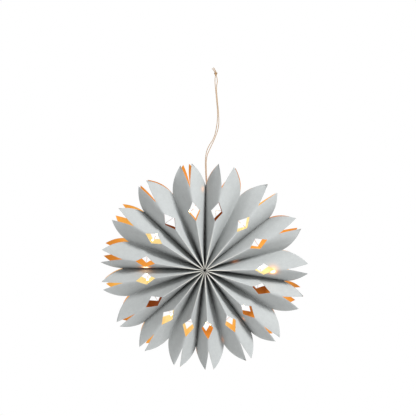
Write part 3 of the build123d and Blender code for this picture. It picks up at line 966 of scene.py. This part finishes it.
def make_string(number, wire_finish, lamp_finish):
    """The wire and lamps in one bag; the first bag's lead outside it is made as a piece of its own."""
    rng = random.Random(70 + number)
    node = f"light_string_{number}"
    line = smooth_line(string_route(number))
    if number == 1:
        outside = line[:, 1] >= BACK_OF_BAGS
        lead = wire_piece(line[outside], "battery_lead", wire_finish)
        finish_piece(lead, "bag_1", "light_string", node)
        line = line[~outside]
    wire = wire_piece(line, f"string_wire_{number}", wire_finish)
    drops = [dress(lamp_drop(centre, rng), lamp_finish) for centre in lamp_places(number)]
    lamps = smooth(join(drops, f"string_lamps_{number}"), 60.0)
    for piece in (wire, lamps):
        finish_piece(piece, f"bag_{number}", "light_string", node)
        flatten_with(piece)


# ---- Twine ----

# Middle of the pair of strands, in millimetres from the hub, and how far they open there
TWINE_ROUTE = [
    ((4.9, 0.0, 136.0), 0.0),
    ((5.3, 0.2, 160.0), 0.0),
    ((3.6, 0.0, 188.0), 0.0),
    ((2.9, -0.4, 219.0), 0.0),
    ((9.9, 0.3, 239.0), 2.0),
    ((20.3, 0.6, 256.0), 0.0),
    ((27.1, 0.2, 279.0), 1.3),
    ((27.9, -0.4, 304.0), 0.0),
    ((25.2, 0.2, 332.0), 0.0),
    ((23.0, 0.5, 357.0), 0.0),
    ((23.9, 0.0, 370.5), 2.1),
    ((23.1, 0.0, 379.5), 0.0),
]
TAIL_ROUTES = [
    ((22.1, -1.0, 385.4), (20.3, -1.0, 388.4), (15.3, -1.0, 393.6)),
    ((23.5, 1.2, 386.0), (22.5, 1.2, 390.0), (17.9, 1.2, 395.4)),
]


def smooth_line(points):
    """Points along the smooth spline that a route's points control."""
    curve = bpy.data.curves.new("route", "CURVE")
    curve.dimensions = "3D"
    curve.resolution_u = 40
    spline = curve.splines.new("NURBS")
    spline.points.add(len(points) - 1)
    for control, point in zip(spline.points, points):
        control.co = (*point, 1.0)
    spline.order_u = 3
    spline.use_endpoint_u = True
    carrier = bpy.data.objects.new("route", curve)
    mesh = bpy.data.meshes.new_from_object(carrier)
    line = np.array([v.co for v in mesh.vertices], float)
    bpy.data.objects.remove(carrier)
    bpy.data.meshes.remove(mesh)
    bpy.data.curves.remove(curve)
    return line


def lengths_along(line):
    """The distance along a line at each of its points."""
    return np.concatenate([[0.0], np.cumsum(np.linalg.norm(np.diff(line, axis=0), axis=1))])


def spaced(line, step):
    """The same line with evenly spaced points."""
    along = lengths_along(line)
    at = np.linspace(0.0, along[-1], max(4, int(along[-1] / step)))
    return np.stack([np.interp(at, along, line[:, axis]) for axis in range(3)], axis=1)


def frames_along(line):
    """The line's direction and two across it at each point, carried along without twisting."""
    ahead = np.gradient(line, axis=0)
    ahead = ahead / np.linalg.norm(ahead, axis=1, keepdims=True)
    side = np.cross(ahead[0], [0.0, 1.0, 0.3])
    sides = []
    for direction in ahead:
        side = side - direction * np.dot(side, direction)
        side = side / np.linalg.norm(side)
        sides.append(side)
    sides = np.array(sides)
    return ahead, sides, np.cross(ahead, sides)


def tube_piece(line, radii, around=7):
    """A closed tube along a line, pointed where its radius is nothing."""
    _, sides, ups = frames_along(line)
    turns = np.linspace(0.0, 2 * math.pi, around + 1)
    across, up = np.cos(turns)[None, :, None], np.sin(turns)[None, :, None]
    ring = across * sides[:, None] + up * ups[:, None]
    points = line[:, None] + ring * np.asarray(radii)[:, None, None]
    along = lengths_along(line)
    flat = np.stack(np.broadcast_arrays(turns[None, :] / (2 * math.pi), along[:, None]), axis=-1)
    return grid_piece(points, flat, flip=True)


PLIES = 3
RINGS_PER_TURN = 9  # rings of each ply in one turn of the rope
PLY_OFFSET = 0.27  # middle of the rope to a ply's middle, as a share of the diameter
PLY_RADIUS = 0.25  # and a ply's radius
FRAY_SPREAD = 0.45  # how much further out a frayed ply ends
FRAY_THIN = 0.55  # how much of a frayed ply's thickness is lost
ROUNDED_END = 0.4  # length over which a ply's end is rounded off, as a share of the diameter


def rope(line, diameter, lay, fray=0.0):
    """Plies twisted about a line. They part and thin out over the last share that is frayed."""
    line = spaced(line, lay / RINGS_PER_TURN)
    _, sides, ups = frames_along(line)
    share = np.linspace(0.0, 1.0, len(line))
    length = lengths_along(line)[-1]
    opened = np.clip((share - 1.0 + fray) / fray, 0.0, 1.0) if fray else 0.0 * share
    offset = diameter * (PLY_OFFSET + FRAY_SPREAD * opened**1.5)
    from_end = np.minimum(share, 1.0 - share) * length
    ends = np.clip(from_end / (diameter * ROUNDED_END), 0.0, 1.0)
    radii = diameter * PLY_RADIUS * np.sqrt(ends) * (1.0 - FRAY_THIN * opened)
    pieces = []
    for ply in range(PLIES):
        angle = (2 * math.pi * (ply / PLIES + share * length / lay))[:, None]
        out = np.cos(angle) * sides + np.sin(angle) * ups
        pieces.append(tube_piece(line + offset[:, None] * out, radii))
    return pieces


HAIR_RADIUS = 0.00006
HAIR_LIFT = 0.42  # how far a hair's tip stands off, as a share of its length


def stray_fibres(line, diameter, count, rng, reach):
    """Fine hairs that stand off the twine."""
    ahead, sides, ups = frames_along(line)
    pieces = []
    for _ in range(count):
        at = rng.randrange(3, len(line) - 3)
        angle = rng.uniform(0, 2 * math.pi)
        out = math.cos(angle) * sides[at] + math.sin(angle) * ups[at]
        lean = ahead[at] * rng.choice((-1, 1)) * rng.uniform(0.5, 1.0)
        start = line[at] + out * diameter * 0.3
        length = rng.uniform(0.35, 1.0) * reach
        curve = np.linspace(0.0, 1.0, 6)[:, None]
        hair = start + length * (lean * curve + out * (HAIR_LIFT * curve**1.6))
        radii = HAIR_RADIUS * (1.0 - curve[:, 0] ** 2)
        pieces.append(tube_piece(hair, radii, around=3))
    return pieces


def make_strand(name, side, node, twine, finish):
    """One strand of the doubled twine, from the glue to the knot."""
    route = [from_hub((x + side * (twine.offset / MM + opening), y, z))
             for (x, y, z), opening in TWINE_ROUTE]
    line = smooth_line(route)
    rng = random.Random(5 + side)
    even = spaced(line, 0.001)
    pieces = rope(line, twine.diameter, twine.lay)
    pieces += stray_fibres(even, twine.diameter, 60, rng, 0.003)
    piece = merge_doubles(join(pieces, name))
    smooth(dress(piece, finish), 70.0)
    finish_piece(piece, "hanger", "jute_twine", node)
    return piece, route[0], line


KNOT_SWELL = 1.25  # a strand's thickness in the knot, as a share of its own
KNOT_POINTS = 160
INNER_ROOM = (0.6, 0.7, 0.75)  # the inner strand's share of the knot's room


def make_knot(twine, finish):
    """An overhand knot in the doubled twine."""
    low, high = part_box("twine_knot")
    middle, half = (low + high) / 2, (high - low) / 2
    turn = np.linspace(0.0, 2 * math.pi, KNOT_POINTS, endpoint=False)
    shape = np.stack([(np.sin(turn) + 2 * np.sin(2 * turn)) / 3, -np.sin(3 * turn),
                      (np.cos(turn) - 2 * np.cos(2 * turn)) / 3], axis=1)
    thick = twine.diameter * KNOT_SWELL
    room = np.array(half) - thick * 0.55
    line = np.array(middle) + shape * room
    line = np.concatenate([line, line[:3]])
    pieces = rope(line, thick, twine.lay)
    inner = np.array(middle) + shape[:, [2, 1, 0]] * room * np.array(INNER_ROOM)
    pieces += rope(np.concatenate([inner, inner[:3]]), thick, twine.lay)
    piece = merge_doubles(join(pieces, "hanging_knot"))
    return finish_piece(smooth(dress(piece, finish), 70.0), "hanger", "jute_twine", "twine_knot")


def make_tails(twine, finish):
    """The two cut ends above the knot, frayed at their tips."""
    rng = random.Random(11)
    pieces = []
    for route in TAIL_ROUTES:
        line = smooth_line([from_hub(point) for point in route])
        pieces += rope(line, twine.diameter, twine.lay, fray=0.3)
        pieces += stray_fibres(spaced(line, 0.0005), twine.diameter, 16, rng, 0.0035)
    piece = merge_doubles(join(pieces, "knot_tails"))
    return finish_piece(smooth(dress(piece, finish), 70.0), "hanger", "jute_twine", "twine_tails")


# ---- Operators ----


class STAR_OT_bags(bpy.types.Operator):
    """Fold the eight paper bags."""

    bl_idname = "star.make_bags"
    bl_label = "Paper Bags"

    def execute(self, context):
        sizes, _, lights, _ = settings()
        materials = (outside_paper(sizes), inside_paper())
        for number in range(1, len(BAG_HEADINGS) + 1):
            make_bag(number, sizes, lights, materials)
        return {"FINISHED"}


class STAR_OT_seams(bpy.types.Operator):
    """Lay the adhesive strips between the bags."""

    bl_idname = "star.make_seams"
    bl_label = "Seam Strips"

    def execute(self, context):
        finish = clouded_glue("seam_adhesive", (0.86, 0.84, 0.78), 0.4)
        dress(frame["nodes"]["seam_adhesive_1"], finish)
        for number in range(2, len(BAG_HEADINGS) + 1):
            node = f"seam_adhesive_{number}"
            piece = dress(node_copy(node, f"seam_strip_{number}"), finish)
            draw_in_strip(piece, settings()[0], BAG_HEADINGS[number - 1][0])
            finish_piece(piece, f"bag_{number}", "adhesive", node)
            flatten_with(piece)
        return {"FINISHED"}


class STAR_OT_lights(bpy.types.Operator):
    """Thread the light string through the bags."""

    bl_idname = "star.make_lights"
    bl_label = "Light String"

    def execute(self, context):
        lights = settings()[2]
        wire_finish, lamp_finish = copper_wire(), lamp_resin(lights)
        for number in range(1, len(BAG_HEADINGS) + 1):
            make_string(number, wire_finish, lamp_finish)
        return {"FINISHED"}


class STAR_OT_twine(bpy.types.Operator):
    """Twist the doubled twine and tie its knot."""

    bl_idname = "star.make_twine"
    bl_label = "Twine"

    def execute(self, context):
        twine = settings()[1]
        finish = jute(twine)
        dress(frame["nodes"]["twine_glue"], clouded_glue("twine_glue", (0.80, 0.74, 0.60), 0.25))
        left, left_exit, left_line = make_strand("strand_left", -1, "twine_left", twine, finish)
        right, right_exit, right_line = make_strand("strand_right", 1, "twine_right", twine, finish)
        knot, tails = make_knot(twine, finish), make_tails(twine, finish)
        return {"FINISHED"}


class STAR_OT_battery(bpy.types.Operator):
    """Finish the battery pack's parts."""

    bl_idname = "star.finish_battery"
    bl_label = "Battery Pack"

    def execute(self, context):
        steel = sheet_metal("cell_steel", (0.72, 0.72, 0.70), 0.22)
        brass = sheet_metal("contact_brass", (0.80, 0.60, 0.28), 0.28)
        white = moulded_plastic("case_plastic", (0.78, 0.78, 0.76), 0.45)
        finishes = {
            "battery_case": white,
            "battery_cover": white,
            "foam_pad": closed_foam(),
            "contact_plate": brass,
            "contact_clip": brass,
            "coin_cell_lower": steel,
            "coin_cell_upper": steel,
            "circuit_board": circuit_green(),
            "switch_body": sheet_metal("switch_steel", (0.60, 0.60, 0.62), 0.3),
            "switch_knob": moulded_plastic("black_plastic", (0.03, 0.03, 0.032), 0.4),
        }
        for node, finish in finishes.items():
            dress(frame["nodes"][node], finish)
        return {"FINISHED"}


class STAR_OT_stage(bpy.types.Operator):
    """Set the camera, the lights and the floor."""

    bl_idname = "star.set_stage"
    bl_label = "Stage"

    def execute(self, context):
        stage = settings()[3]
        set_camera(stage)
        set_floor(stage)
        set_lights()
        context.scene.view_settings.view_transform = "Standard"
        return {"FINISHED"}


# What the camera turns about and the picture's middle, in millimetres from the hub
EYE_LEVEL = (7.6, 0.0, 200.0)
PICTURE_MIDDLE = (7.6, 0.0, 118.8)
SENSOR = 36.0
FARTHEST = 50.0  # the camera sees no further than this
FLOOR_RADIUS = 2.4
# Each soft light: place in millimetres from the hub, size, power and colour
LIGHTS = {
    "key": ((1350, -1350, 1450), 0.7, 54.0, (0.97, 0.99, 1.0)),
    "fill": ((-1200, -1800, 300), 1.0, 6.0, (1.0, 0.99, 0.97)),
    "back": ((-900, 1900, 900), 1.0, 26.0, (1.0, 0.99, 0.98)),
}
STUDIO_COLOUR = (0.96, 0.98, 1.0, 1.0)
STUDIO_LIGHT = 0.43


def set_camera(stage):
    """Aims a camera level with the star and shifts its frame to the picture's middle."""
    data = bpy.data.cameras.new("camera")
    camera = bpy.data.objects.new("camera", data)
    bpy.context.scene.collection.objects.link(camera)
    away = Vector((math.sin(stage.azimuth), -math.cos(stage.azimuth), 0.0)) * stage.distance
    camera.location = from_hub(EYE_LEVEL) + away
    camera.rotation_euler = (math.radians(90.0) - stage.pitch, 0.0, stage.azimuth)
    data.sensor_width = SENSOR
    data.lens = SENSOR * stage.distance / stage.frame_width
    turn = camera.rotation_euler.to_matrix().transposed()
    middle = turn @ (from_hub(PICTURE_MIDDLE) - camera.location)
    data.shift_x = -middle.x / middle.z * data.lens / SENSOR
    data.shift_y = -middle.y / middle.z * data.lens / SENSOR
    data.clip_end = FARTHEST
    bpy.context.scene.camera = camera


def set_floor(stage):
    """A round pale floor below the star."""
    deselect()
    bpy.ops.mesh.primitive_circle_add(vertices=96, radius=FLOOR_RADIUS, fill_type="NGON",
                                      location=(0, 0, -stage.floor_drop))
    floor = bpy.context.object
    floor.name = "floor"
    dress(floor, stage_paint("floor_paint", tuple(stage.white)))


def soft_light(name, where, size, power, colour):
    """A square soft light that faces the star's hub."""
    data = bpy.data.lights.new(name, "AREA")
    data.size = size
    data.energy = power
    data.color = colour
    light = bpy.data.objects.new(name, data)
    bpy.context.scene.collection.objects.link(light)
    light.location = from_hub(where)
    light.rotation_euler = (HUB - light.location).to_track_quat("-Z", "Y").to_euler()


def set_lights():
    """The soft lights, and a studio round them that the camera sees as white."""
    for name, (where, size, power, colour) in LIGHTS.items():
        soft_light(name, where, size, power, colour)
    world = bpy.data.worlds.new("studio")
    world.use_nodes = True
    tree = world.node_tree
    lit = tree.nodes["Background"]
    lit.inputs["Color"].default_value = STUDIO_COLOUR
    lit.inputs["Strength"].default_value = STUDIO_LIGHT
    seen = tree.nodes.new("ShaderNodeBackground")
    seen.inputs["Color"].default_value = (1.0, 1.0, 1.0, 1.0)
    path = tree.nodes.new("ShaderNodeLightPath")
    choice = tree.nodes.new("ShaderNodeMixShader")
    tree.links.new(path.outputs["Is Camera Ray"], choice.inputs[0])
    tree.links.new(lit.outputs[0], choice.inputs[1])
    tree.links.new(seen.outputs[0], choice.inputs[2])
    tree.links.new(choice.outputs[0], tree.nodes["World Output"].inputs["Surface"])
    bpy.context.scene.world = world


class STAR_PT_panel(bpy.types.Panel):
    """The star's pieces and sizes."""

    bl_idname = "STAR_PT_panel"
    bl_label = "Paper Star"
    bl_space_type = "VIEW_3D"
    bl_region_type = "UI"
    bl_category = "Paper Star"

    def draw(self, context):
        for operator in OPERATORS:
            self.layout.operator(operator.bl_idname)
        for name, group in GROUPS.items():
            box = self.layout.box()
            for prop in group.__annotations__:
                box.prop(getattr(context.scene, name), prop)


OPERATORS = (STAR_OT_bags, STAR_OT_seams, STAR_OT_lights, STAR_OT_twine, STAR_OT_battery,
             STAR_OT_stage)
GROUPS = {
    "star_bag": PaperStarBag,
    "star_twine": PaperStarTwine,
    "star_lights": PaperStarLights,
    "star_stage": PaperStarStage,
}


def register():
    for kind in (*GROUPS.values(), *OPERATORS, STAR_PT_panel):
        bpy.utils.register_class(kind)
    for name, group in GROUPS.items():
        setattr(bpy.types.Scene, name, bpy.props.PointerProperty(type=group))


def unregister():
    for name in GROUPS:
        delattr(bpy.types.Scene, name)
    for kind in (STAR_PT_panel, *reversed(OPERATORS), *reversed(GROUPS.values())):
        bpy.utils.unregister_class(kind)


def main():
    register()
    bpy.ops.star.set_stage()
    bpy.ops.star.make_twine()
    bpy.ops.star.make_bags()
    bpy.ops.star.make_seams()
    bpy.ops.star.make_lights()
    bpy.ops.star.finish_battery()


if __name__ == "__main__":
    main()
